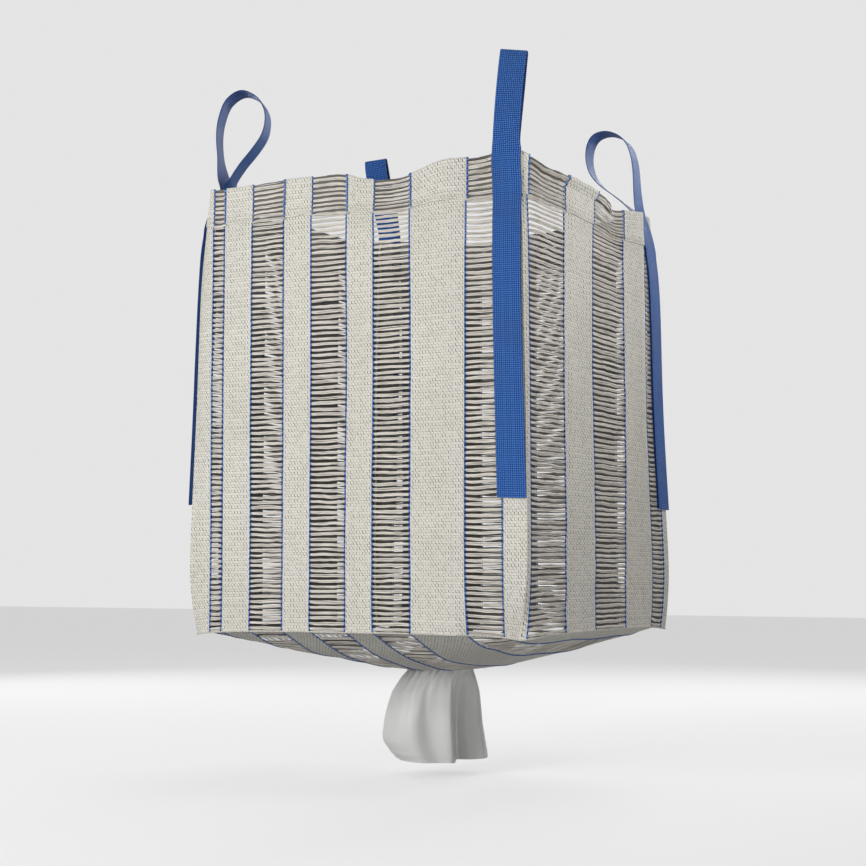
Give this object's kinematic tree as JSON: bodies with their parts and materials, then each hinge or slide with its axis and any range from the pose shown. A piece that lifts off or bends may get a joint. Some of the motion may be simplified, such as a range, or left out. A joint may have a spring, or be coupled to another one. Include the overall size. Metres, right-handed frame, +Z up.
{
  "type": "bulk bag",
  "caption": "Open-topped ventilated bulk bag of woven cloth with open weave strips, webbing corner loops, sagging bottom and a gathered discharge spout.",
  "frame": {"origin": "midway between the crowns of the four lifting loops, where the bag is held up", "axes": "+Z up; the front wall faces -Y and the right wall faces +X"},
  "size_m": [0.9704, 0.9704, 1.75],
  "materials": {
    "woven_cloth": "plain woven tape cloth, slight sheen",
    "vent_cloth": "open weave of bundled tapes",
    "hem_cloth": "folded woven tape cloth",
    "bottom_cloth": "plain woven tape cloth",
    "spout_cloth": "light woven cloth, matt",
    "leno_cord": "twisted blue leno thread",
    "webbing": "blue woven webbing",
    "binding": "folded seam binding",
    "thread": "sewing thread"
  },
  "bodies": {
    "bag": {"front_panel": "woven_cloth", "front_vents": "vent_cloth", "front_leno_cords": "leno_cord", "front_hem": "hem_cloth", "front_hem_stitching": "thread", "bottom_seam_front": "binding", "right_panel": "woven_cloth", "right_vents": "vent_cloth", "right_leno_cords": "leno_cord", "right_hem": "hem_cloth", "right_hem_stitching": "thread", "bottom_seam_right": "binding", "back_panel": "woven_cloth", "back_vents": "vent_cloth", "back_leno_cords": "leno_cord", "back_hem": "hem_cloth", "back_hem_stitching": "thread", "bottom_seam_back": "binding", "left_panel": "woven_cloth", "left_vents": "vent_cloth", "left_leno_cords": "leno_cord", "left_hem": "hem_cloth", "left_hem_stitching": "thread", "bottom_seam_left": "binding", "corner_seam_front_right": "binding", "webbing_front_right": "webbing", "stitching_front_right": "thread", "corner_seam_back_right": "binding", "webbing_back_right": "webbing", "stitching_back_right": "thread", "corner_seam_back_left": "binding", "webbing_back_left": "webbing", "stitching_back_left": "thread", "corner_seam_front_left": "binding", "webbing_front_left": "webbing", "stitching_front_left": "thread", "bottom_panel": "bottom_cloth", "spout_collar": "spout_cloth"},
    "loop_front_right": {"loop_front_right": "webbing"},
    "loop_back_right": {"loop_back_right": "webbing"},
    "loop_back_left": {"loop_back_left": "webbing"},
    "loop_front_left": {"loop_front_left": "webbing"},
    "spout_neck": {"spout_neck": "spout_cloth", "spout_tie": "webbing"},
    "spout_skirt": {"spout_skirt": "spout_cloth", "spout_hem": "spout_cloth"}
  },
  "joints": [
    {"name": "loop_front_right_fold", "type": "hinge", "parent": "bag", "child": "loop_front_right", "pos_m": [0.405, -0.4359, -0.25], "axis": [1, 0, 0], "range_deg": [-30, 150]},
    {"name": "loop_back_right_fold", "type": "hinge", "parent": "bag", "child": "loop_back_right", "pos_m": [0.4359, 0.405, -0.25], "axis": [0, 1, 0], "range_deg": [-30, 150]},
    {"name": "loop_back_left_fold", "type": "hinge", "parent": "bag", "child": "loop_back_left", "pos_m": [-0.405, 0.4359, -0.25], "axis": [-1, 0, 0], "range_deg": [-30, 150]},
    {"name": "loop_front_left_fold", "type": "hinge", "parent": "bag", "child": "loop_front_left", "pos_m": [-0.4359, -0.405, -0.25], "axis": [0, -1, 0], "range_deg": [-30, 150]},
    {"name": "spout_fore_aft", "type": "hinge", "parent": "bag", "child": "spout_neck", "pos_m": [0, 0, -1.522], "axis": [1, 0, 0], "range_deg": [-25, 25]},
    {"name": "spout_sideways", "type": "hinge", "parent": "spout_neck", "child": "spout_skirt", "pos_m": [0, 0, -1.522], "axis": [0, 1, 0], "range_deg": [-25, 25]}
  ]
}
